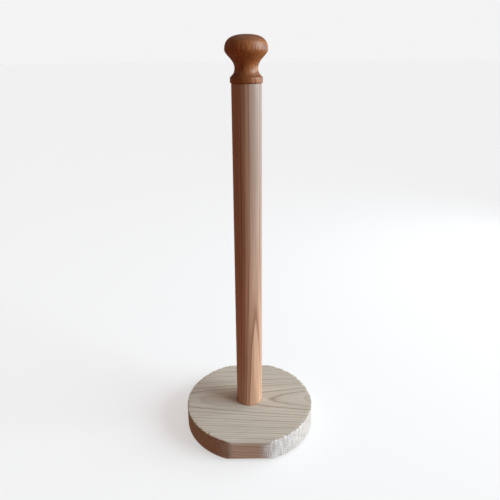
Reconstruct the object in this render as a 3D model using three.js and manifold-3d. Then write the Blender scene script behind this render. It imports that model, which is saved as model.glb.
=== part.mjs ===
// A free-standing holder for one roll of kitchen paper: a round sawn from a pine board, an upright
// dowel let into it, and a turned knob that screws off the dowel's top end. All sizes are in
// millimetres. The origin is the middle of the object on the surface it stands on, and +Z is up.

import * as THREE from "three";
import { mergeVertices } from "three/addons/utils/BufferGeometryUtils.js";
import Module from "manifold-3d";

const wasm = await Module();
wasm.setup();

// Driving dimensions

const CLEARANCE = 0.3; // between a piece and the hole that it sits in
const CONTACT_GAP = 0.1; // between two faces that rest on each other
const CUT_OVERRUN = 1; // how far a cutting tool passes the face that it opens

const board = { width: 120, thickness: 20, arrisRadius: 2.5 };
const disc = { radius: 62.5, easedCornerRadius: 20 };

const pad = { radius: 7, thickness: 2, edgeRadius: 0.4, circleRadius: 50 };
const padAngles = {
  foot_pad_front_left: 225,
  foot_pad_front_right: 315,
  foot_pad_back_left: 135,
  foot_pad_back_right: 45,
};

const column = { radius: 12.5, standing: 307, seatDepth: 8, endEase: 0.4, behindCentre: 2.5 };

// The knob's outline is a collar band, a flare up to the neck, and a bulb. Each fullness is how far
// a curve keeps the direction that it starts with.
const knob = {
  height: 37,
  bulbRadius: 17.5,
  bulbHeight: 25.6,
  crownFullness: 0.69,
  bulbUnderFullness: 4.2,
  neckRadius: 9.6,
  neckHeight: 11.6,
  neckUpperFullness: 6.6,
  neckLowerFullness: 3,
  flareFullness: 1.9,
  collarRadius: 13.4,
  collarHeight: 5.1,
  collarEdgeRadius: 0.9,
  collarShoulderAngle: 64,
};

const insert = {
  bore: 3.15,
  length: 13,
  recess: 0.5,
  mouthBevel: 0.5,
  thread: { core: 4, crest: 4.75, pitch: 2.5, rootWidth: 0.3, crestWidth: 0 },
};
const insertHole = { tipDepth: 20, tipRadius: 3.6, drillPointHeight: 1.6 };

const hangerBolt = {
  shoulderRadius: 3,
  shoulderLength: 2,
  standing: 14,
  tipBevel: 0.8,
  machine: { core: 2.45, crest: 3, pitch: 1, rootWidth: 0, crestWidth: 0.25 },
  woodLength: 26,
  wood: { core: 2, crest: 3, pitch: 2.5, rootWidth: 0.55, crestWidth: 0 },
  pointLength: 4,
};

const columnScrew = {
  headRadius: 5,
  headHeight: 4,
  headRim: 0.4,
  headRecess: 0.4,
  shankRadius: 2.4,
  shankLength: 14,
  length: 50,
  thread: { core: 1.7, crest: 2.5, pitch: 2.4, rootWidth: 0.55, crestWidth: 0 },
  pointLength: 5,
  slot: { length: 5.2, width: 1.1, depth: 2 },
};

// Heights that follow from them

const discBottom = pad.thickness;
const discTop = discBottom + board.thickness;
const columnBottom = discTop - column.seatDepth + CLEARANCE;
const columnTop = discTop + column.standing;
const knobBottom = columnTop + CONTACT_GAP;
const flatDistance = board.width / 2;

// Fineness of the meshes

const ROUND_SEGMENTS = 48;
const SMALL_SEGMENTS = 24;
const THREAD_SEGMENTS = 18;
const ARRIS_SEGMENTS = 5;
const DISC_CHORD = 3.9;
const KNOB_CHORD = 2.6;
const WELD_DISTANCE = 1e-4; // corners closer than this are one
const THREAD_BITE = 0.5; // how far a thread runs into the plain part beside it

// Geometry helpers

function toSolid(geometry) {
  const bare = new THREE.BufferGeometry();
  bare.setAttribute("position", geometry.getAttribute("position"));
  bare.setIndex(geometry.index);
  const merged = mergeVertices(bare, WELD_DISTANCE);
  const vertProperties = new Float32Array(merged.attributes.position.array);
  const triVerts = new Uint32Array(merged.index.array);
  return new wasm.Manifold(new wasm.Mesh({ numProp: 3, vertProperties, triVerts }));
}

function toGeometry(solid) {
  const { vertProperties, triVerts } = solid.getMesh();
  const geometry = new THREE.BufferGeometry();
  geometry.setAttribute("position", new THREE.BufferAttribute(vertProperties, 3));
  geometry.setIndex(new THREE.BufferAttribute(triVerts, 1));
  geometry.computeVertexNormals();
  return geometry;
}

// A solid turned about +Z from an outline of [radius, height] points that runs upwards on its
// outer side.
function turned(outline, segments = ROUND_SEGMENTS) {
  const points = outline.map(([radius, height]) => new THREE.Vector2(radius, height));
  return new THREE.LatheGeometry(points, segments).rotateX(Math.PI / 2);
}

function turnedSolid(outline, segments) {
  return toSolid(turned(outline, segments));
}

// Points along a path, with each round stretch divided into chords of about the given length.
function pathPoints(path, chord) {
  const points = [];
  for (const curve of path.curves) {
    const divisions = curve.isLineCurve ? 1 : Math.max(2, Math.ceil(curve.getLength() / chord));
    const stretch = curve.getPoints(divisions);
    points.push(...stretch.slice(points.length ? 1 : 0));
  }
  return points;
}

// A right-hand thread that rises along +Z from bottom to top, with sloped flanks between its root
// and its crest, whose widths are parts of a pitch. Its skin is a grid whose rows climb with the
// helix: one turn on, a row is the row that is one pitch higher.
function threadSolid({ core, crest, pitch, rootWidth, crestWidth }, bottom, top) {
  const crestMiddle = (1 + rootWidth) / 2;
  const root = rootWidth > 0 ? [[0, core], [rootWidth, core]] : [[0, core]];
  const ridge = crestWidth > 0 ? [-crestWidth / 2, crestWidth / 2] : [0];
  const rows = [...root, ...ridge.map((offset) => [crestMiddle + offset, crest])];
  const rowsPerTurn = rows.length;
  const [turnsBelow, turnsOver] = [2, 1];
  const turns = turnsBelow + Math.ceil((top - bottom) / pitch) + turnsOver;
  const lastRow = turns * rowsPerTurn;
  const positions = [];
  const index = [];

  const vertexAt = (step, row) => {
    const angle = (2 * Math.PI * step) / THREAD_SEGMENTS;
    const [offset, radius] = rows[row % rowsPerTurn];
    const turn = Math.floor(row / rowsPerTurn) - turnsBelow;
    const climb = turn + offset + step / THREAD_SEGMENTS;
    positions.push(radius * Math.cos(angle), radius * Math.sin(angle), bottom + climb * pitch);
    return positions.length / 3 - 1;
  };
  const grid = Array.from({ length: THREAD_SEGMENTS }, (_, step) =>
    Array.from({ length: lastRow + 1 }, (_, row) => vertexAt(step, row)),
  );
  const at = (step, row) =>
    step < THREAD_SEGMENTS ? grid[step][row] : grid[0][row + rowsPerTurn];

  const skinRows = lastRow - rowsPerTurn;
  for (let step = 0; step < THREAD_SEGMENTS; step++) {
    for (let row = 0; row < skinRows; row++) {
      const [a, b] = [at(step, row), at(step + 1, row)];
      const [c, d] = [at(step + 1, row + 1), at(step, row + 1)];
      index.push(a, b, c, a, c, d);
    }
  }

  // Each end is a fan from the axis to the last row and to the step between two turns.
  const closeEnd = (row, faceUp) => {
    const rim = [];
    for (let step = 0; step < THREAD_SEGMENTS; step++) rim.push(at(step, row));
    for (let above = rowsPerTurn; above > 0; above--) rim.push(at(0, row + above));
    const rimTurn = row / rowsPerTurn - turnsBelow;
    positions.push(0, 0, bottom + (rimTurn + 0.5) * pitch);
    const centre = positions.length / 3 - 1;
    rim.forEach((vertex, i) => {
      const next = rim[(i + 1) % rim.length];
      index.push(centre, ...(faceUp ? [vertex, next] : [next, vertex]));
    });
  };
  closeEnd(0, false);
  closeEnd(skinRows, true);

  const geometry = new THREE.BufferGeometry();
  geometry.setAttribute("position", new THREE.Float32BufferAttribute(positions, 3));
  geometry.setIndex(index);
  return toSolid(geometry);
}

// A thread cut to length by an outline of [radius, height] points, which also shapes its ends.
// The outline stays wide of the crest where it isn't shaping an end.
function trimmedThread(thread, outline) {
  const heights = outline.map(([, height]) => height);
  const full = threadSolid(thread, Math.min(...heights), Math.max(...heights));
  return full.intersect(turnedSolid(outline, SMALL_SEGMENTS));
}

// Pieces

// The board's cross-section: its long edges keep their planed, rounded arrises.
function boardBar() {
  const { arrisRadius } = board;
  const half = flatDistance;
  const corner = half - arrisRadius;
  const section = new THREE.Shape();
  section.absarc(corner, discTop - arrisRadius, arrisRadius, 0, Math.PI / 2);
  section.absarc(-corner, discTop - arrisRadius, arrisRadius, Math.PI / 2, Math.PI);
  section.absarc(-corner, discBottom + arrisRadius, arrisRadius, Math.PI, 1.5 * Math.PI);
  section.absarc(corner, discBottom + arrisRadius, arrisRadius, 1.5 * Math.PI, 2 * Math.PI);
  section.closePath();
  const length = 2 * disc.radius + 2 * CUT_OVERRUN;
  const bar = new THREE.ExtrudeGeometry(section, {
    depth: length,
    bevelEnabled: false,
    curveSegments: ARRIS_SEGMENTS,
  });
  // The section was drawn in XY and extruded along Z: turn it to stand in YZ and run along X.
  bar.translate(0, 0, -length / 2);
  bar.rotateX(Math.PI / 2);
  bar.rotateZ(Math.PI / 2);
  return toSolid(bar);
}

// The sawn outline: a circle a little wider than the board, so the board's two edges stay as
// flats, with the four corners between flat and circle sanded round.
function sawnBlank() {
  const { radius, easedCornerRadius: ease } = disc;
  const cornerX = Math.sqrt((radius - ease) ** 2 - (flatDistance - ease) ** 2);
  const cornerY = flatDistance - ease;
  const cornerAngle = Math.atan2(cornerY, cornerX);
  const quarter = Math.PI / 2;
  const outline = new THREE.Shape();
  outline.absarc(0, 0, radius, -cornerAngle, cornerAngle);
  outline.absarc(cornerX, cornerY, ease, cornerAngle, quarter);
  outline.absarc(-cornerX, cornerY, ease, quarter, Math.PI - cornerAngle);
  outline.absarc(0, 0, radius, Math.PI - cornerAngle, Math.PI + cornerAngle);
  outline.absarc(-cornerX, -cornerY, ease, Math.PI + cornerAngle, 3 * quarter);
  outline.absarc(cornerX, -cornerY, ease, 3 * quarter, 4 * quarter - cornerAngle);
  // The last point is the first again.
  const points = pathPoints(outline, DISC_CHORD).slice(0, -1);
  const blank = new THREE.ExtrudeGeometry(new THREE.Shape(points), {
    depth: board.thickness + 2 * CUT_OVERRUN,
    bevelEnabled: false,
  });
  blank.translate(0, 0, discBottom - CUT_OVERRUN);
  return toSolid(blank);
}

// One cutter for the seat of the column, the screw's clearance hole and its countersink.
function discCutter() {
  const seatRadius = column.radius + CLEARANCE;
  const holeRadius = columnScrew.shankRadius + CLEARANCE;
  const sinkRadius = columnScrew.headRadius + CLEARANCE + columnScrew.headRecess;
  const sinkTop = discBottom + columnScrew.headHeight + columnScrew.headRecess;
  const seatFloor = discTop - column.seatDepth;
  const cutter = turnedSolid([
    [0, discBottom - CUT_OVERRUN],
    [sinkRadius, discBottom - CUT_OVERRUN],
    [sinkRadius, discBottom],
    [holeRadius, sinkTop],
    [holeRadius, seatFloor],
    [seatRadius, seatFloor],
    [seatRadius, discTop + CUT_OVERRUN],
    [0, discTop + CUT_OVERRUN],
  ]);
  return cutter.translate(0, column.behindCentre, 0);
}

function baseDisc() {
  return toGeometry(boardBar().intersect(sawnBlank()).subtract(discCutter()));
}

function footPad() {
  const { radius, thickness, edgeRadius } = pad;
  const top = thickness - CONTACT_GAP;
  return turned(
    [
      [0, 0],
      [radius - edgeRadius, 0],
      [radius, edgeRadius],
      [radius, top],
      [0, top],
    ],
    SMALL_SEGMENTS,
  );
}

// The dowel, with a pilot hole in each end.
function columnRod() {
  const { radius, endEase } = column;
  const screwHole = columnScrew.thread.crest + CLEARANCE;
  const screwHoleTop = discBottom + columnScrew.headRecess + columnScrew.length + 2 * CLEARANCE;
  const boltHole = hangerBolt.wood.crest + CLEARANCE;
  const boltHoleDepth = hangerBolt.woodLength + hangerBolt.shoulderLength + 2 * CLEARANCE;
  const boltHoleBottom = columnTop - boltHoleDepth;
  return turned([
    [0, screwHoleTop],
    [screwHole, screwHoleTop],
    [screwHole, columnBottom],
    [radius - endEase, columnBottom],
    [radius, columnBottom + endEase],
    [radius, columnTop - endEase],
    [radius - endEase, columnTop],
    [boltHole, columnTop],
    [boltHole, boltHoleBottom],
    [0, boltHoleBottom],
  ]);
}

// The knob's outer outline from its flat underside to its crown.
function knobOutline() {
  const { collarRadius, collarHeight, collarEdgeRadius, neckRadius, neckHeight } = knob;
  const { bulbRadius, bulbHeight, height, crownFullness, flareFullness } = knob;
  const quarter = Math.PI / 2;
  const bandEdge = collarRadius - collarEdgeRadius;
  const shoulder = THREE.MathUtils.degToRad(knob.collarShoulderAngle);
  const outline = new THREE.Path();
  outline.absarc(bandEdge, collarEdgeRadius, collarEdgeRadius, -quarter, 0);
  outline.absarc(bandEdge, collarHeight - collarEdgeRadius, collarEdgeRadius, 0, shoulder);
  const shoulderRadius = bandEdge + collarEdgeRadius * Math.cos(shoulder);
  outline.bezierCurveTo(
    shoulderRadius - flareFullness,
    collarHeight + flareFullness,
    neckRadius,
    neckHeight - knob.neckLowerFullness,
    neckRadius,
    neckHeight,
  );
  outline.bezierCurveTo(
    neckRadius,
    neckHeight + knob.neckUpperFullness,
    bulbRadius,
    bulbHeight - knob.bulbUnderFullness,
    bulbRadius,
    bulbHeight,
  );
  outline.bezierCurveTo(
    bulbRadius,
    bulbHeight + crownFullness * (height - bulbHeight),
    crownFullness * bulbRadius,
    height,
    0,
    height,
  );
  return pathPoints(outline, KNOB_CHORD).map((point) => [point.x, point.y]);
}

function turnedKnob() {
  const holeRadius = insert.thread.crest + CLEARANCE;
  const holeTop = insert.recess + insert.length + CLEARANCE;
  const { tipDepth, tipRadius, drillPointHeight } = insertHole;
  const hole = [
    [0, tipDepth + drillPointHeight],
    [tipRadius, tipDepth],
    [tipRadius, holeTop],
    [holeRadius, holeTop],
    [holeRadius, 0],
  ];
  return turned([...hole, ...knobOutline()], ROUND_SEGMENTS);
}

function knobInsert() {
  const { bore: boreRadius, recess: bottom, length, mouthBevel } = insert;
  const { core, crest } = insert.thread;
  const top = bottom + length;
  const body = trimmedThread(insert.thread, [
    [0, bottom],
    [core, bottom],
    [crest + mouthBevel, bottom + 2 * mouthBevel],
    [crest + mouthBevel, top - 2 * mouthBevel],
    [core, top],
    [0, top],
  ]);
  const bore = turnedSolid(
    [
      [0, bottom - CUT_OVERRUN],
      [boreRadius + mouthBevel, bottom - CUT_OVERRUN],
      [boreRadius + mouthBevel, bottom],
      [boreRadius, bottom + mouthBevel],
      [boreRadius, top + CUT_OVERRUN],
      [0, top + CUT_OVERRUN],
    ],
    SMALL_SEGMENTS,
  );
  return toGeometry(body.subtract(bore));
}

// Measured from the column's top face: wood thread below, shoulder, machine thread above.
function hangerBoltPiece() {
  const { shoulderRadius, shoulderLength, standing, tipBevel, machine, wood } = hangerBolt;
  const { woodLength, pointLength } = hangerBolt;
  const woodBottom = -shoulderLength - woodLength;
  const shoulder = turnedSolid(
    [
      [0, -shoulderLength],
      [shoulderRadius, -shoulderLength],
      [shoulderRadius, 0],
      [0, 0],
    ],
    SMALL_SEGMENTS,
  );
  const machineThread = trimmedThread(machine, [
    [0, -THREAD_BITE],
    [machine.crest + THREAD_BITE, -THREAD_BITE],
    [machine.crest + THREAD_BITE, standing - tipBevel - THREAD_BITE],
    [machine.crest - tipBevel, standing],
    [0, standing],
  ]);
  const woodThread = trimmedThread(wood, [
    [0, woodBottom],
    [wood.crest + THREAD_BITE, woodBottom + pointLength],
    [wood.crest + THREAD_BITE, -shoulderLength + THREAD_BITE],
    [0, -shoulderLength + THREAD_BITE],
  ]);
  return toGeometry(shoulder.add(machineThread).add(woodThread));
}

// Measured from the flat of the screw's head, which faces down.
function columnScrewPiece() {
  const { headRadius, headHeight, headRim, shankRadius, shankLength } = columnScrew;
  const { length, thread, pointLength, slot } = columnScrew;
  const headAndShank = turnedSolid(
    [
      [0, 0],
      [headRadius, 0],
      [headRadius, headRim],
      [shankRadius, headHeight],
      [shankRadius, shankLength],
      [0, shankLength],
    ],
    SMALL_SEGMENTS,
  );
  const threaded = trimmedThread(thread, [
    [0, shankLength - THREAD_BITE],
    [thread.crest + THREAD_BITE, shankLength - THREAD_BITE],
    [thread.crest + THREAD_BITE, length - pointLength],
    [0, length],
  ]);
  let screw = headAndShank.add(threaded);
  for (const angle of [0, Math.PI / 2]) {
    const cut = new THREE.BoxGeometry(slot.length, slot.width, 2 * slot.depth).rotateZ(angle);
    screw = screw.subtract(toSolid(cut));
  }
  return toGeometry(screw);
}

// Assembly

function material(color, roughness, metalness = 0) {
  return new THREE.MeshStandardMaterial({ color, roughness, metalness });
}

function place(parent, name, geometry, look, position = [0, 0, 0]) {
  const mesh = new THREE.Mesh(geometry, look);
  mesh.name = name;
  mesh.position.set(...position);
  parent.add(mesh);
}

const rawPine = material(0xc9b79f, 0.75);
const rawPineDowel = material(0xbb9878, 0.7);
const stainedWood = material(0x7c4526, 0.35);
const brass = material(0xb8954f, 0.35, 1);
const zincedSteel = material(0xb4b7ba, 0.35, 1);
const greyFelt = material(0x5b5a58, 0.95);

const holder = new THREE.Group();
place(holder, "base_disc", baseDisc(), rawPine);
for (const [name, degrees] of Object.entries(padAngles)) {
  const angle = THREE.MathUtils.degToRad(degrees);
  const spot = [pad.circleRadius * Math.cos(angle), pad.circleRadius * Math.sin(angle), 0];
  place(holder, name, footPad(), greyFelt, spot);
}

const upright = new THREE.Group();
upright.position.set(0, column.behindCentre, 0);
holder.add(upright);
place(upright, "column", columnRod(), rawPineDowel);
const screwHeight = discBottom + columnScrew.headRecess;
place(upright, "column_screw", columnScrewPiece(), zincedSteel, [0, 0, screwHeight]);
place(upright, "knob_hanger_bolt", hangerBoltPiece(), zincedSteel, [0, 0, columnTop]);
place(upright, "knob_insert", knobInsert(), brass, [0, 0, knobBottom]);
place(upright, "knob", turnedKnob(), stainedWood, [0, 0, knobBottom]);

export default holder;
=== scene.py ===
"""A free-standing holder for kitchen paper: the finished look of each piece, built in metres around
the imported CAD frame. Every wooden piece has one solid texture of growth rings and fibres, so its
faces, edges and end grain agree as they do on real timber."""

import math

import bpy
from mathutils import Matrix, Vector, noise


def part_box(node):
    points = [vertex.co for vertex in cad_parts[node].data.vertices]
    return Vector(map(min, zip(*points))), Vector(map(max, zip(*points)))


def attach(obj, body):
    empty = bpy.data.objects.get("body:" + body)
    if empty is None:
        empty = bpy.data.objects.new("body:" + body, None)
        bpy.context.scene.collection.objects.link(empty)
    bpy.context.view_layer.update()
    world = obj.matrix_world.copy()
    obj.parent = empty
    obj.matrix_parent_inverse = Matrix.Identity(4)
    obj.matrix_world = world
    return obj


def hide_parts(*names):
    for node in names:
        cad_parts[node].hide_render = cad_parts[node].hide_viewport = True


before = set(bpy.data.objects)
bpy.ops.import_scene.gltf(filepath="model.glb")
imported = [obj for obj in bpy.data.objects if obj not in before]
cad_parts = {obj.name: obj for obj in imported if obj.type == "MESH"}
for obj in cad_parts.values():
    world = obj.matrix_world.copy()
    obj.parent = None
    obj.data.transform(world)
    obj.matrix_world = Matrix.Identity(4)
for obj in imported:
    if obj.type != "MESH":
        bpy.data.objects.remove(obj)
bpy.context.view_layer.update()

MM = 0.001

# Sizes of the real pieces that their boxes don't give

ARRIS_RADIUS = 2.5 * MM  # planed round on the board's long edges
EASED_CORNER_RADIUS = 20 * MM  # where the saw cut meets the board's edge
EDGE_BREAK = 0.35 * MM  # sanded round the saw cut's rims
TEAR_DEPTH = 1.3 * MM  # the deepest splinter torn from the upper rim
TEAR_REACH = 2.4 * MM  # how far down the rim it shows
TEAR_DROP = 0.3  # the share of its depth by which a tear also lowers the rim
RIM_MARGIN = 0.012  # the share of the way in to the column over which the top face levels out
CREASE_DEPTH = 0.3 * MM  # the plane's mark under the upper arris
CREASE_WIDTH = 0.8 * MM
CLEARANCE = 0.3 * MM
SEAT_DEPTH = 8 * MM
SCREW_HOLE_RADIUS = 2.7 * MM
COUNTERSINK_RADIUS = 5.7 * MM
COUNTERSINK_DEPTH = 4.4 * MM
SEAT_EDGE_BEVEL = 0.15 * MM
DOWEL_EDGE_RADIUS = 0.5 * MM
SCREW_PILOT_RADIUS = 2.8 * MM
PAD_EDGE_RADIUS = 0.5 * MM
PAD_UNEVENNESS = 0.25 * MM  # how far the cut side of the felt wanders in

# Heights and depths in the knob are measured from its foot

KNOB_BULB_HEIGHT = 25.6 * MM
KNOB_CROWN_FULLNESS = 0.69
KNOB_BULB_UNDER_FULLNESS = 4.2 * MM
KNOB_NECK_RADIUS = 9.6 * MM
KNOB_NECK_HEIGHT = 11.6 * MM
KNOB_NECK_UPPER_FULLNESS = 6.6 * MM
KNOB_NECK_LOWER_FULLNESS = 3 * MM
KNOB_FLARE_FULLNESS = 1.9 * MM
KNOB_COLLAR_RADIUS = 13.4 * MM
KNOB_COLLAR_HEIGHT = 5.1 * MM
KNOB_COLLAR_EDGE = 0.9 * MM
KNOB_GROOVE = 0.2 * MM  # the turner's line between the collar and the flare
INSERT_HOLE_DEPTH = 13.8 * MM
INSERT_HOLE_TIP_DEPTH = 20 * MM
INSERT_HOLE_TIP_RADIUS = 3.6 * MM
INSERT_HOLE_POINT = 1.6 * MM

DISC_POINTS = 720
DOWEL_POINTS = 128
KNOB_POINTS = 144
PAD_POINTS = 96

# Places taken from the frame

DISC_LOW, DISC_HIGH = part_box("base_disc")
COLUMN_LOW, COLUMN_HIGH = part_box("column")
KNOB_LOW, KNOB_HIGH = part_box("knob")
BOLT_LOW, BOLT_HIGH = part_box("knob_hanger_bolt")
SCREW_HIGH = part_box("column_screw")[1]
INSERT_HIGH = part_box("knob_insert")[1]
AXIS = (COLUMN_LOW + COLUMN_HIGH) / 2  # the column's upright axis, in x and y
PADS = sorted(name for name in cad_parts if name.startswith("foot_pad"))


# Mesh helpers


def skin(name, rows, joined=False):
    """A mesh whose quads join each row of points to the next. A row of one point is a pole, and a
    joined skin runs on from its last row to its first."""
    vertices, starts = [], []
    for row in rows:
        starts.append(len(vertices))
        vertices.extend(row)
    faces = []
    pairs = list(zip(range(len(rows)), range(1, len(rows))))
    if joined:
        pairs.append((len(rows) - 1, 0))
    for lower, upper in pairs:
        a, b = starts[lower], starts[upper]
        count = max(len(rows[lower]), len(rows[upper]))
        for i in range(count):
            j = (i + 1) % count
            if len(rows[lower]) == 1:
                faces.append((a, b + j, b + i))
            elif len(rows[upper]) == 1:
                faces.append((a + i, a + j, b))
            else:
                faces.append((a + i, a + j, b + j, b + i))
    mesh = bpy.data.meshes.new(name)
    mesh.from_pydata(vertices, [], faces)
    mesh.shade_smooth()
    mesh.set_sharp_from_angle(angle=math.radians(32))
    mesh.validate()
    piece = bpy.data.objects.new(name, mesh)
    bpy.context.scene.collection.objects.link(piece)
    return piece


def ring(radius, height, centre, points):
    """A level circle about a point of the frame, or its middle where the radius is nothing."""
    if radius == 0:
        return [Vector((centre.x, centre.y, height))]
    turns = (2 * math.pi * i / points for i in range(points))
    return [
        Vector((centre.x + radius * math.cos(t), centre.y + radius * math.sin(t), height))
        for t in turns
    ]


def turned(name, outline, centre, points):
    """A piece turned on a lathe, from (radius, height) pairs that run up its outer side."""
    return skin(name, [ring(radius, height, centre, points) for radius, height in outline])


def arc(centre_radius, centre_height, radius, start, end, steps):
    """(radius, height) pairs round an arc, from one angle to another in degrees."""
    angles = (math.radians(start + (end - start) * i / steps) for i in range(steps + 1))
    return [
        (centre_radius + radius * math.cos(a), centre_height + radius * math.sin(a))
        for a in angles
    ]


def straight(start, end, steps):
    """(radius, height) pairs along a line, without its last point."""
    return [
        tuple(a + (b - a) * i / steps for a, b in zip(start, end))
        for i in range(steps)
    ]


def finish_piece(piece, body, slot, material, *stands_for):
    """Give a piece its material and the body that carries it, and hide the CAD nodes it stands for.
    """
    piece.data.materials.append(material)
    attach(piece, body)
    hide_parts(*stands_for)
    return piece


# The base


def sawn_outline():
    """Evenly spaced (x, y, sawn) round the disc: the saw's circle, sanded into the board's edges.
    sawn is 1 on the saw cut and falls to 0 on the board's own straight edge."""
    radius, half_board, ease = DISC_HIGH.x, DISC_HIGH.y, EASED_CORNER_RADIUS
    corner_y = half_board - ease
    corner_x = math.sqrt((radius - ease) ** 2 - corner_y**2)
    turn = math.atan2(corner_y, corner_x)
    circle_length = radius * turn
    corner_length = ease * (math.pi / 2 - turn)
    quarter_length = circle_length + corner_length + corner_x
    outline = []
    for i in range(DISC_POINTS):
        walked = 4 * quarter_length * i / DISC_POINTS
        quarter, walked = divmod(walked, quarter_length)
        if quarter % 2:
            walked = quarter_length - walked
        if walked < circle_length:
            angle = walked / radius
            x, y, sawn = radius * math.cos(angle), radius * math.sin(angle), 1
        elif walked < circle_length + corner_length:
            angle = turn + (walked - circle_length) / ease
            x, y = corner_x + ease * math.cos(angle), corner_y + ease * math.sin(angle)
            sawn = 1 - (walked - circle_length) / corner_length
        else:
            x, y, sawn = quarter_length - walked, half_board, 0
        left, front = quarter in (1, 2), quarter in (2, 3)
        outline.append((-x if left else x, -y if front else y, sawn))
    return outline


def rounding(height, radius):
    """How far an edge of that radius draws the rim in at a height on the board."""
    to_face = min(height - DISC_LOW.z, DISC_HIGH.z - height)
    into_edge = max(0, radius - to_face)
    return radius - math.sqrt(max(0, radius**2 - into_edge**2))


def torn(x, y):
    """How deep the saw tore the rim at a place, from 0 to 1: splinters as wide as the fibres."""
    fibres = noise.noise(Vector((x * 230, y * 420, 3)))
    splinters = noise.noise(Vector((x * 600, y * 1100, 5)))
    patches = noise.noise(Vector((x * 45, y * 45, 8)))
    return max(0, min(1, 0.2 + 0.9 * fibres + 0.8 * splinters + 0.7 * patches))


def rim_rows():
    """Rows up the disc's rim. The long edges' wide rounding and the saw cut's small one both fit."""
    arris = [ARRIS_RADIUS * (1 - math.sin(math.radians(a))) for a in range(90, -1, -10)]
    small = [EDGE_BREAK * (1 - math.sin(math.radians(a))) for a in range(75, 0, -25)]
    steps = sorted(set(arris + small))
    wall = DISC_HIGH.z - DISC_LOW.z - 2 * ARRIS_RADIUS
    middle = [DISC_LOW.z + ARRIS_RADIUS + wall * i / 8 for i in range(1, 8)]
    crease = DISC_HIGH.z - ARRIS_RADIUS - CREASE_WIDTH / 2
    around_crease = [crease - CREASE_WIDTH / 2, crease]
    lower, upper = [DISC_LOW.z + s for s in steps], [DISC_HIGH.z - s for s in steps]
    outline = sawn_outline()
    rows = []
    for height in sorted(lower + middle + around_crease + upper):
        groove = CREASE_DEPTH * max(0, 1 - 2 * abs(height - crease) / CREASE_WIDTH)
        half_board = DISC_HIGH.y - rounding(height, ARRIS_RADIUS) - groove
        near_top = max(0, 1 - (DISC_HIGH.z - height) / TEAR_REACH)
        row = []
        for x, y, sawn in outline:
            tear = TEAR_DEPTH * torn(x, y) * sawn * near_top**2
            draw_in = sawn * (rounding(height, EDGE_BREAK) + tear)
            scale = 1 - draw_in / math.hypot(x, y)
            level = height - TEAR_DROP * tear
            row.append(Vector((x * scale, max(-half_board, min(half_board, y * scale)), level)))
        rows.append(row)
    return rows


def rows_between(outer, inner, shares):
    """Rows from one ring of points to another at the given shares of the way."""
    return [[a.lerp(b, share) for a, b in zip(outer, inner)] for share in shares]


def hole_ring(outline_row, radius, height):
    """A circle about the column's axis whose points face those of the rim."""
    directions = (Vector((p.x - AXIS.x, p.y - AXIS.y)).normalized() for p in outline_row)
    return [Vector((AXIS.x + radius * d.x, AXIS.y + radius * d.y, height)) for d in directions]


def base_disc():
    """The rim, the top face, the column's seat with the screw's hole under it, and the under face."""
    rim = rim_rows()
    top, bottom = DISC_HIGH.z, DISC_LOW.z
    seat_radius = COLUMN_HIGH.x - AXIS.x + CLEARANCE
    seat_floor = top - SEAT_DEPTH
    centre = hole_ring(rim[-1], 0, top)
    level_rim = [Vector((p.x, p.y, top)) for p in rows_between(rim[-1], centre, [RIM_MARGIN])[0]]
    hole = [
        (seat_radius + SEAT_EDGE_BEVEL, top),
        (seat_radius, top - SEAT_EDGE_BEVEL),
        (seat_radius, seat_floor),
        (SCREW_HOLE_RADIUS, seat_floor),
        (SCREW_HOLE_RADIUS, bottom + COUNTERSINK_DEPTH),
        (COUNTERSINK_RADIUS, bottom),
    ]
    inner = [hole_ring(rim[-1], radius, height) for radius, height in hole]
    top_face = rows_between(level_rim, inner[0], [0, 0.05, 0.15, 0.3, 0.5, 0.75])
    under_face = rows_between(inner[-1], rim[0], [0.25, 0.5, 0.75, 0.95])
    return skin("base_disc_board", rim + top_face + inner + under_face, joined=True)


# The column and the knob


def column_dowel():
    """A dowel with a pilot hole in each end and its rims sanded round."""
    radius, low, high = COLUMN_HIGH.x - AXIS.x, COLUMN_LOW.z, COLUMN_HIGH.z
    edge = DOWEL_EDGE_RADIUS
    bolt_hole, bolt_hole_end = BOLT_HIGH.x - AXIS.x + CLEARANCE, BOLT_LOW.z - CLEARANCE
    screw_hole, screw_hole_end = SCREW_PILOT_RADIUS, SCREW_HIGH.z + CLEARANCE
    outline = [(0, screw_hole_end), (screw_hole, screw_hole_end)]
    outline += straight((screw_hole, low), (radius - edge, low), 3)
    outline += arc(radius - edge, low + edge, edge, -90, 0, 4)
    outline += straight((radius, low + edge), (radius, high - edge), 60)[1:]
    outline += arc(radius - edge, high - edge, edge, 0, 90, 4)
    outline += [(bolt_hole, high), (bolt_hole, bolt_hole_end), (0, bolt_hole_end)]
    return turned("column_dowel", outline, AXIS, DOWEL_POINTS)


def sweep(start, first_pull, last_pull, end, steps):
    """(radius, height) pairs along a cubic curve, without its first point."""
    outline = []
    for i in range(1, steps + 1):
        t = i / steps
        weights = ((1 - t) ** 3, 3 * t * (1 - t) ** 2, 3 * t**2 * (1 - t), t**3)
        points = (start, first_pull, last_pull, end)
        outline.append(tuple(sum(w * p[k] for w, p in zip(weights, points)) for k in (0, 1)))
    return outline


def knob_hole():
    """The blind hole in the knob's foot for its threaded insert, from its tip to its mouth."""
    radius = INSERT_HIGH.x - AXIS.x + CLEARANCE
    return [
        (0, INSERT_HOLE_TIP_DEPTH + INSERT_HOLE_POINT),
        (INSERT_HOLE_TIP_RADIUS, INSERT_HOLE_TIP_DEPTH),
        (INSERT_HOLE_TIP_RADIUS, INSERT_HOLE_DEPTH),
        (radius, INSERT_HOLE_DEPTH),
        (radius, 0),
    ]


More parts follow.
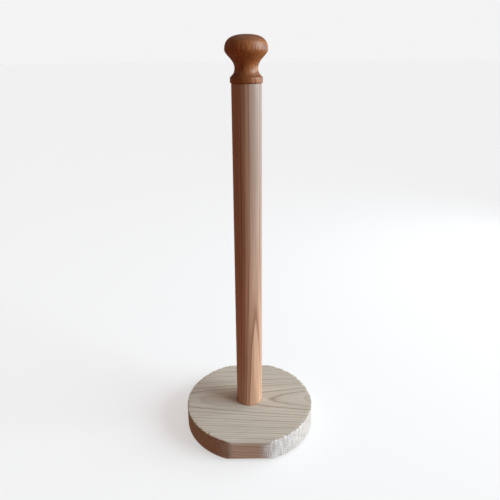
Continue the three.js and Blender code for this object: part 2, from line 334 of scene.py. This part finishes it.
def knob_turning():
    """Collar band, turned line, flare, neck, bulb and crown, over the hole in the foot."""
    foot, bulb = KNOB_LOW.z, (KNOB_HIGH.x - AXIS.x, KNOB_BULB_HEIGHT)
    neck = (KNOB_NECK_RADIUS, KNOB_NECK_HEIGHT)
    crown = (0, KNOB_HIGH.z - foot)
    band = KNOB_COLLAR_RADIUS - KNOB_COLLAR_EDGE
    outline = knob_hole()
    outline += arc(band, KNOB_COLLAR_EDGE, KNOB_COLLAR_EDGE, -90, 0, 6)
    outline += arc(band, KNOB_COLLAR_HEIGHT - KNOB_COLLAR_EDGE, KNOB_COLLAR_EDGE, 0, 75, 6)
    groove = (outline[-1][0] - 2 * KNOB_GROOVE, outline[-1][1] - KNOB_GROOVE)
    flare = (outline[-1][0] - KNOB_GROOVE, outline[-1][1] + KNOB_GROOVE)
    outline += [groove, flare]
    outline += sweep(
        flare,
        (flare[0] - KNOB_FLARE_FULLNESS, flare[1] + KNOB_FLARE_FULLNESS),
        (neck[0], neck[1] - KNOB_NECK_LOWER_FULLNESS),
        neck,
        18,
    )
    outline += sweep(
        neck,
        (neck[0], neck[1] + KNOB_NECK_UPPER_FULLNESS),
        (bulb[0], bulb[1] - KNOB_BULB_UNDER_FULLNESS),
        bulb,
        36,
    )
    outline += sweep(
        bulb,
        (bulb[0], bulb[1] + KNOB_CROWN_FULLNESS * (crown[1] - bulb[1])),
        (KNOB_CROWN_FULLNESS * bulb[0], crown[1]),
        crown,
        36,
    )
    outline = [(radius, foot + height) for radius, height in outline]
    return turned("knob_turning", outline, AXIS, KNOB_POINTS)


def felt_pad(name):
    """A pressed felt disc: soft edges, and a cut side that is a little uneven."""
    low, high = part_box(name)
    centre, radius = (low + high) / 2, (high.x - low.x) / 2
    edge = PAD_EDGE_RADIUS
    outline = straight((0, low.z), (radius - edge, low.z), 8)
    outline += arc(radius - edge, low.z + edge, edge, -90, 0, 4)
    outline += arc(radius - edge, high.z - edge, edge, 0, 90, 4)
    outline += [(radius * share, high.z) for share in (0.8, 0.6, 0.4, 0.2, 0)]
    piece = turned(name + "_felt", outline, centre, PAD_POINTS)
    for vertex in piece.data.vertices:
        out = Vector((vertex.co.x - centre.x, vertex.co.y - centre.y, 0))
        if out.length > 0.8 * radius:
            uneven = 0.5 + 0.5 * noise.noise(vertex.co * 1400)
            vertex.co -= out.normalized() * PAD_UNEVENNESS * uneven
    return piece


# Materials


def srgb(code):
    """A linear colour from the usual six hexadecimal digits."""
    channels = (int(code[i : i + 2], 16) / 255 for i in (0, 2, 4))
    return tuple(c / 12.92 if c <= 0.04045 else ((c + 0.055) / 1.055) ** 2.4 for c in channels) + (1,)


class Finish:
    """A material with one Principled shader, and short ways to add nodes and join them."""

    def __init__(self, name, **constants):
        self.material = bpy.data.materials.new(name)
        self.material.use_nodes = True
        self.tree = self.material.node_tree
        self.shader = self.tree.nodes["Principled BSDF"]
        coordinates = self.add("ShaderNodeTexCoord").outputs
        self.place, self.facing = coordinates["Object"], coordinates["Normal"]
        for socket, value in constants.items():
            self.shader.inputs[socket.replace("_", " ")].default_value = value

    def add(self, kind, settings=None, **inputs):
        """A node with its settings made and its inputs joined by name."""
        node = self.tree.nodes.new(kind)
        for setting, value in (settings or {}).items():
            setattr(node, setting, value)
        for socket, value in inputs.items():
            self.join(value, node.inputs[socket.replace("_", " ")])
        return node

    def join(self, value, socket):
        """Lead another node's output, or a constant, into a socket."""
        if isinstance(value, bpy.types.NodeSocket):
            self.tree.links.new(value, socket)
        else:
            socket.default_value = value

    def drive(self, name, value):
        self.join(value, self.shader.inputs[name])

    def math(self, operation, *values, clamp=False):
        node = self.add("ShaderNodeMath", {"operation": operation, "use_clamp": clamp})
        for socket, value in zip(node.inputs, values):
            self.join(value, socket)
        return node.outputs[0]

    def xyz(self, vector):
        return self.add("ShaderNodeSeparateXYZ", Vector=vector).outputs

    def scaled(self, scale):
        """The piece's own coordinates, with each axis multiplied."""
        settings = {"operation": "MULTIPLY"}
        node = self.add("ShaderNodeVectorMath", settings)
        self.join(self.place, node.inputs[0])
        node.inputs[1].default_value = scale
        return node.outputs[0]

    def noise(self, scale, detail=2.0, roughness=0.5, distortion=0.0):
        """Noise from 0 to 1 whose grains measure about 1 / scale metres along each axis."""
        return self.add(
            "ShaderNodeTexNoise",
            Vector=self.scaled(scale),
            Scale=1.0,
            Detail=detail,
            Roughness=roughness,
            Distortion=distortion,
        ).outputs[0]

    def wander(self, scale, width):
        """A smooth wandering about nothing, width from end to end."""
        centred = self.math("SUBTRACT", self.noise(scale), 0.5)
        return self.math("MULTIPLY", centred, width)

    def remap(self, value, low, high, to_low=0.0, to_high=1.0):
        """value moved smoothly from low..high to to_low..to_high, and held at those ends."""
        node = self.add("ShaderNodeMapRange", {"interpolation_type": "SMOOTHSTEP"})
        for socket, number in zip(node.inputs, (value, low, high, to_low, to_high)):
            self.join(number, socket)
        return node.outputs[0]

    def ramp(self, value, *stops):
        """A curve through (position, level) stops."""
        node = self.add("ShaderNodeValToRGB", Fac=value)
        elements = node.color_ramp.elements
        while len(elements) < len(stops):
            elements.new(0.5)
        for element, (position, level) in zip(elements, stops):
            element.position = position
            element.color = (level, level, level, 1)
        return node.outputs[0]

    def mix(self, share, first, second, blend="MIX"):
        node = self.add("ShaderNodeMix", {"data_type": "RGBA", "blend_type": blend})
        self.join(share, node.inputs[0])
        self.join(first, node.inputs[6])
        self.join(second, node.inputs[7])
        return node.outputs[2]

    def over(self, value, threshold):
        """How far a value rises over a threshold."""
        return self.math("SUBTRACT", value, threshold, clamp=True)

    def veil(self, colour, mask, strength, code):
        """A colour with another, given as an sRGB code, laid thinly over it where a mask says."""
        return self.mix(self.math("MULTIPLY", mask, strength), colour, srgb(code))

    def along(self, degrees):
        """How far a place lies from the column's axis in a level direction."""
        x, y, _ = self.xyz(self.place)
        east, north = self.math("SUBTRACT", x, AXIS.x), self.math("SUBTRACT", y, AXIS.y)
        east_share = self.math("MULTIPLY", east, math.cos(math.radians(degrees)))
        north_share = self.math("MULTIPLY", north, math.sin(math.radians(degrees)))
        return self.math("ADD", east_share, north_share)

    def bump(self, *layers):
        """Relief from (height, depth in metres) layers, one over the other."""
        normal = None
        for height, depth in layers:
            node = self.add("ShaderNodeBump", Height=height, Strength=1.0, Distance=depth)
            if normal:
                self.join(normal, node.inputs["Normal"])
            normal = node.outputs["Normal"]
        self.drive("Normal", normal)


# How dark a ring is through its year, as (share of the year, darkness)
YEAR_DARKNESS = ((0.0, 0.5), (0.06, 0.03), (0.6, 0.08), (0.82, 0.36), (0.95, 1.0), (1.0, 0.6))


def rings(finish, distance, width, first_year=5.8, unevenness=0.375):
    """How dark the late wood is at a distance from the pith. Each year's ring darkens outwards and
    ends sharply, and good and poor years alternate unevenly."""
    count = finish.math("DIVIDE", distance, width)
    year = finish.math("FLOOR", count)
    grown = finish.math("SUBTRACT", count, year)
    late = finish.ramp(grown, *YEAR_DARKNESS)
    weather = finish.math("SINE", finish.math("MULTIPLY_ADD", year, 2.25, first_year))
    strength = finish.math("MULTIPLY_ADD", weather, unevenness, 1 - unevenness)
    return finish.math("MULTIPLY", late, strength)


def board_rings(finish):
    """Rings round a pith that lies under the board and slopes up towards +X, so they open into
    pointed arches along the top face and stand as arcs on the end grain."""
    pith_depth, slope = 38.9 * MM, 0.058
    inner_radius, width = 0.75 * MM, 2.05 * MM
    x, y, z = finish.xyz(finish.place)
    across = finish.math("ADD", y, finish.wander((14, 38, 38), 3.0 * MM))
    below = finish.math("SUBTRACT", DISC_HIGH.z + pith_depth, z)
    deep = finish.math("SUBTRACT", below, finish.math("MULTIPLY", x, slope))
    squares = finish.math("ADD", finish.math("POWER", across, 2.0), finish.math("POWER", deep, 2.0))
    reach = finish.math("SQRT", squares)
    reach = finish.math("ADD", reach, finish.wander((45, 210, 210), 0.7 * MM))
    return rings(finish, finish.math("SUBTRACT", reach, inner_radius), width)


def planed_colour(finish, late, fibres, edge):
    """Planed pine: pale bands under rings, fibres and pores, and warmer on the long edges."""
    bands = finish.noise((8, 120, 120))
    streaks = finish.remap(finish.noise((22, 420, 420), roughness=0.6), 0.45, 0.7)
    pores = finish.remap(finish.noise((160, 2600, 2600), detail=1.0), 0.68, 0.78)
    wood = finish.mix(bands, srgb("beafa0"), srgb("cbbeae"))
    wood = finish.veil(wood, streaks, 0.28, "9f8f7d")
    wood = finish.veil(wood, late, 0.95, "756556")
    wood = finish.veil(wood, finish.over(fibres, 0.4), 0.7, "8f7d6a")
    wood = finish.veil(wood, pores, 0.35, "6f563f")
    warmed = finish.mix(1.0, wood, srgb("fbe3d6"), "MULTIPLY")
    return finish.mix(edge, wood, warmed)


def sawn_colour(finish, late, east):
    """Sawn pine under the rings and the saw's upright marks, with painted shade and light: brown on
    the left, the side turned from the light, palest a little right of the middle, where the light
    falls, and a little darker again towards the right end."""
    marks = finish.remap(finish.noise((1100, 1100, 110)), 0.38, 0.7)
    # painted shade and light: the rim is brown towards the left, in shade, and pale towards the
    # right, where the light falls
    painted_light_share = finish.remap(east, -30 * MM, 20 * MM)
    # a little darker again towards the right end
    right_end_darkening = finish.remap(east, 25 * MM, 58 * MM)
    wood = finish.mix(painted_light_share, srgb("baa590"), srgb("ddd7d3"))
    wood = finish.veil(wood, right_end_darkening, 0.7, "c6b8ab")
    wood = finish.veil(wood, late, 0.5, "88766b")
    return finish.veil(wood, marks, 0.5, "8c7564")


def board_pine():
    """Raw pine, planed on its faces and rough from the saw on its rim. The saw's marks run on over
    the right-hand end of the board's straight edges."""
    finish = Finish("board_pine", Specular_IOR_Level=0.35)
    late = board_rings(finish)
    fibres = finish.noise((35, 1100, 1100), detail=3.0, roughness=0.6)
    east = finish.xyz(finish.place)[0]
    facing = finish.xyz(finish.facing)
    end_grain = finish.remap(finish.math("ABSOLUTE", facing[0]), 0.0, 0.25)
    edge = finish.remap(finish.math("ABSOLUTE", facing[1]), 0.93, 0.99)
    scuffed = finish.math("MULTIPLY", edge, finish.remap(east, 7 * MM, 15 * MM))
    rough = finish.math("MAXIMUM", end_grain, scuffed)
    planed = planed_colour(finish, late, fibres, edge)
    sawn = sawn_colour(finish, late, east)
    finish.drive("Base Color", finish.mix(rough, planed, sawn))
    finish.drive("Roughness", finish.remap(late, 0.0, 1.0, 0.72, 0.55))
    saw_marks = finish.math("MULTIPLY", finish.noise((700, 700, 60)), rough)
    finish.bump((late, 0.05 * MM), (fibres, 0.04 * MM), (saw_marks, 0.25 * MM))
    return finish.material


def dowel_rings(finish, height):
    """Rings nearly flat across the dowel. Low down they lift towards the foot, so that one of them
    breaks the surface in a pointed flame."""
    lift_start, lift_slope = 184 * MM, 0.0178
    pith_distance, width = 41.3 * MM, 2.2 * MM
    below = finish.math("MAXIMUM", finish.math("SUBTRACT", lift_start, height), 0.0)
    layer = finish.math("ADD", finish.along(-59), finish.math("MULTIPLY", below, lift_slope))
    layer = finish.math("ADD", layer, finish.wander((90, 90, 9), 0.8 * MM))
    distance = finish.math("ADD", layer, pith_distance)
    late = rings(finish, distance, width, first_year=4.12, unevenness=0.25)
    return finish.math("POWER", late, 0.6)


def dowel_pine():
    """Smoother pine: ruddy heartwood on one side, paler wood on the other, and painted warm light
    towards the foot.
    """
    finish = Finish("dowel_pine", Specular_IOR_Level=0.4)
    height = finish.xyz(finish.place)[2]
    late = dowel_rings(finish, height)
    heart = finish.remap(finish.along(-35), 6.5 * MM, 11.2 * MM, 1.0, 0.0)
    foot = finish.remap(height, 20 * MM, 300 * MM, 1.0, 0.0)
    fibres = finish.noise((650, 650, 10), detail=3.0, roughness=0.6)
    streaks = finish.noise((260, 260, 5))
    pale = finish.mix(streaks, srgb("9f8a7c"), srgb("ae998b"))
    ruddy = finish.mix(streaks, srgb("b1886d"), srgb("c59e85"))
    wood = finish.mix(heart, pale, ruddy)
    # painted light: warmer and brighter towards the foot, as if lit from the board below
    wood = finish.veil(wood, foot, 0.9, "daa886")
    wood = finish.veil(wood, late, 0.82, "7f4c31")
    wood = finish.veil(wood, finish.over(fibres, 0.42), 2.0, "8a634a")
    finish.drive("Base Color", wood)
    finish.drive("Roughness", finish.remap(fibres, 0.2, 0.8, 0.5, 0.68))
    finish.bump((late, 0.03 * MM), (fibres, 0.03 * MM))
    return finish.material


def knob_rings(finish):
    """Close rings across the knob that lean a little as they rise, from a pith far outside it."""
    pith_distance, lean, width = 0.5, 0.06, 1.4 * MM
    x, y, z = finish.xyz(finish.place)
    across = finish.math("ADD", finish.math("MULTIPLY", x, 0.85), finish.math("MULTIPLY", y, -0.52))
    layer = finish.math("ADD", across, finish.wander((60, 60, 14), 1.2 * MM))
    layer = finish.math("ADD", layer, finish.math("MULTIPLY", z, lean))
    late = rings(finish, finish.math("ADD", layer, pith_distance), width, unevenness=0.25)
    return finish.math("POWER", late, 0.55)


def stained_wood():
    """Turned wood under brown stain and satin varnish, which darkens the late wood, the pores and
    the end grain of the crown. The crown is darkened only where it faces upwards, so that darkness
    is partly the stain in the end grain and partly painted shade."""
    finish = Finish(
        "stained_wood",
        Specular_IOR_Level=0.28,
        Coat_Weight=0.26,
        Coat_Roughness=0.38,
        Coat_IOR=1.5,
    )
    late = knob_rings(finish)
    fibres = finish.noise((850, 850, 16), detail=3.0, roughness=0.6)
    clouds = finish.noise((70, 70, 40))
    flecks = finish.remap(finish.noise((2200, 2200, 330), detail=1.0), 0.66, 0.76)
    # darker on faces turned upwards: partly the stain soaking the end grain, partly painted shade on
    # the crown
    end_grain = finish.remap(finish.xyz(finish.facing)[2], 0.25, 0.95)
    wood = finish.mix(clouds, srgb("a26030"), srgb("c07b3e"))
    wood = finish.veil(wood, late, 0.9, "4f220d")
    wood = finish.veil(wood, finish.over(fibres, 0.42), 2.6, "5a2810")
    wood = finish.veil(wood, end_grain, 0.68, "532406")
    wood = finish.veil(wood, flecks, 0.6, "2c1309")
    finish.drive("Base Color", wood)
    finish.drive("Roughness", finish.remap(fibres, 0.2, 0.8, 0.46, 0.6))
    finish.bump((fibres, 0.02 * MM), (flecks, -0.04 * MM))
    return finish.material


def zinced_steel():
    """Bright zinc plating over rolled thread, dulled in patches."""
    finish = Finish("zinced_steel", Metallic=1.0)
    patches = finish.noise((260, 260, 180), 3.0)
    scratches = finish.noise((2400, 2400, 260), 2.0)
    colour = finish.mix(patches, srgb("b9bcc0"), srgb("a5a39b"))
    finish.drive("Base Color", finish.veil(colour, scratches, 0.3, "7d7c78"))
    finish.drive("Roughness", finish.remap(patches, 0.3, 0.7, 0.26, 0.46))
    finish.bump((scratches, 0.01 * MM))
    return finish.material


def machined_brass():
    """A brass insert with a tarnished, slightly grainy skin."""
    finish = Finish("insert_brass", Metallic=1.0)
    tarnish = finish.noise((320, 320, 320), 3.0)
    grain = finish.noise((4200, 4200, 4200), 2.0)
    finish.drive("Base Color", finish.mix(tarnish, srgb("c8a25a"), srgb("8e6b35")))
    finish.drive("Roughness", finish.remap(tarnish, 0.3, 0.7, 0.28, 0.5))
    finish.bump((grain, 0.01 * MM))
    return finish.material


def grey_felt():
    """Pressed wool felt: mottled greys and a matted nap."""
    finish = Finish(
        "grey_felt", Roughness=0.95, Specular_IOR_Level=0.1, Sheen_Weight=0.4, Sheen_Roughness=0.6
    )
    wool = finish.noise((900, 900, 900), 4.0, 0.7, 1.5)
    nap = finish.noise((3800, 3800, 3800), 3.0, 0.7, 2.0)
    colour = finish.mix(wool, srgb("4a4946"), srgb("75736e"))
    finish.drive("Base Color", finish.veil(colour, nap, 0.4, "33322f"))
    finish.bump((wool, 0.2 * MM), (nap, 0.1 * MM))
    return finish.material


# The stage


def make_floor():
    """A plain pale floor. It takes the light and the shadows and sends none back to the object."""
    half = 60
    corners = [(-half, -half, 0), (half, -half, 0), (half, half, 0), (-half, half, 0)]
    mesh = bpy.data.meshes.new("floor")
    mesh.from_pydata(corners, [], [(0, 1, 2, 3)])
    floor = bpy.data.objects.new("floor", mesh)
    bpy.context.scene.collection.objects.link(floor)
    paper = Finish(
        "floor_paper",
        Base_Color=(0.42, 0.4, 0.39, 1),
        Roughness=0.9,
        Specular_IOR_Level=0.0,
        Emission_Color=(1, 1, 1, 1),
        Emission_Strength=0.52,
    )
    mesh.materials.append(paper.material)
    floor.visible_diffuse = False
    floor.visible_glossy = False


def towards(azimuth, elevation):
    """The direction from the holder to a place that many degrees round from +x and up."""
    azimuth, elevation = math.radians(azimuth), math.radians(elevation)
    level = math.cos(elevation)
    return Vector((level * math.cos(azimuth), level * math.sin(azimuth), math.sin(elevation)))


def add_light(name, kind, direction, colour, energy):
    """A light of the studio that shines at the holder from a direction."""
    data = bpy.data.lights.new(name, kind)
    data.energy = energy
    data.color = colour
    light = bpy.data.objects.new(name, data)
    light.rotation_mode = "QUATERNION"
    light.rotation_quaternion = (-direction).to_track_quat("-Z", "Y")
    bpy.context.scene.collection.objects.link(light)
    return light


def light_the_studio():
    """One large soft window, low on the right and a little in front, a round white panel on the
    right behind the holder, and a pale ceiling."""
    window = add_light("window", "SUN", towards(-14, 22), colour=(0.72, 0.9, 1.0), energy=5.4)
    window.data.angle = math.radians(44)
    ceiling = add_light("ceiling", "SUN", towards(60, 72), colour=(0.98, 0.94, 0.86), energy=0.62)
    ceiling.data.angle = math.radians(70)
    panel_direction, panel_distance = towards(25, 24), 0.85
    panel = add_light("panel", "AREA", panel_direction, colour=(0.7, 0.87, 1.0), energy=2.6)
    panel.data.shape = "DISK"
    panel.data.size = 0.4
    panel.location = panel_distance * panel_direction


def make_room_light():
    """A dim room, warmer and brighter below where the worktop lies. The camera sees it as the same
    pale tone as the floor."""
    world = bpy.data.worlds.new("room")
    world.use_nodes = True
    bpy.context.scene.world = world
    nodes, links = world.node_tree.nodes, world.node_tree.links
    room = nodes["Background"]
    direction = nodes.new("ShaderNodeTexCoord")
    height = nodes.new("ShaderNodeSeparateXYZ")
    links.new(direction.outputs["Generated"], height.inputs[0])
    fade = nodes.new("ShaderNodeValToRGB")
    fade.color_ramp.elements[0].color = (0.34, 0.155, 0.09, 1)
    fade.color_ramp.elements[1].color = (0.18, 0.135, 0.125, 1)
    half = nodes.new("ShaderNodeMath")
    half.operation = "MULTIPLY_ADD"
    half.inputs[1].default_value = 0.5
    half.inputs[2].default_value = 0.5
    links.new(height.outputs["Z"], half.inputs[0])
    links.new(half.outputs[0], fade.inputs[0])
    links.new(fade.outputs["Color"], room.inputs["Color"])
    backdrop = nodes.new("ShaderNodeBackground")
    backdrop.inputs["Color"].default_value = (0.9, 0.9, 0.9, 1)
    path = nodes.new("ShaderNodeLightPath")
    seen = nodes.new("ShaderNodeMixShader")
    links.new(path.outputs["Is Camera Ray"], seen.inputs["Fac"])
    links.new(room.outputs[0], seen.inputs[1])
    links.new(backdrop.outputs[0], seen.inputs[2])
    links.new(seen.outputs[0], nodes["World Output"].inputs["Surface"])


def make_camera():
    """The view from in front, nearly level with the knob's foot and looking down at the base."""
    data = bpy.data.cameras.new("camera")
    data.sensor_width = 36
    data.lens = 35.476
    data.shift_y = -0.0298
    camera = bpy.data.objects.new("camera", data)
    camera.location = Vector((0, -415.67, 347.35)) * MM
    yaw, pitch, roll = math.radians(0.255), math.radians(19.65), math.radians(0.484)
    turn = Matrix.Rotation(-yaw, 3, "Z") @ Matrix.Rotation(math.pi / 2 - pitch, 3, "X")
    camera.rotation_mode = "QUATERNION"
    camera.rotation_quaternion = (turn @ Matrix.Rotation(-roll, 3, "Z")).to_quaternion()
    bpy.context.scene.collection.objects.link(camera)
    bpy.context.scene.camera = camera


def dress_cad_node(name, material):
    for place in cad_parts[name].material_slots:
        place.material = material


make_camera()
bpy.context.scene.view_settings.view_transform = "Standard"
make_floor()
light_the_studio()
make_room_light()

pine = board_pine()
finish_piece(base_disc(), "stand", "pine_board", pine, "base_disc")
finish_piece(column_dowel(), "stand", "pine_dowel", dowel_pine(), "column")
finish_piece(knob_turning(), "knob", "stained_wood", stained_wood(), "knob")
felt = grey_felt()
for pad_name in PADS:
    finish_piece(felt_pad(pad_name), "stand", "grey_felt", felt, pad_name)
steel = zinced_steel()
dress_cad_node("knob_hanger_bolt", steel)
dress_cad_node("column_screw", steel)
dress_cad_node("knob_insert", machined_brass())
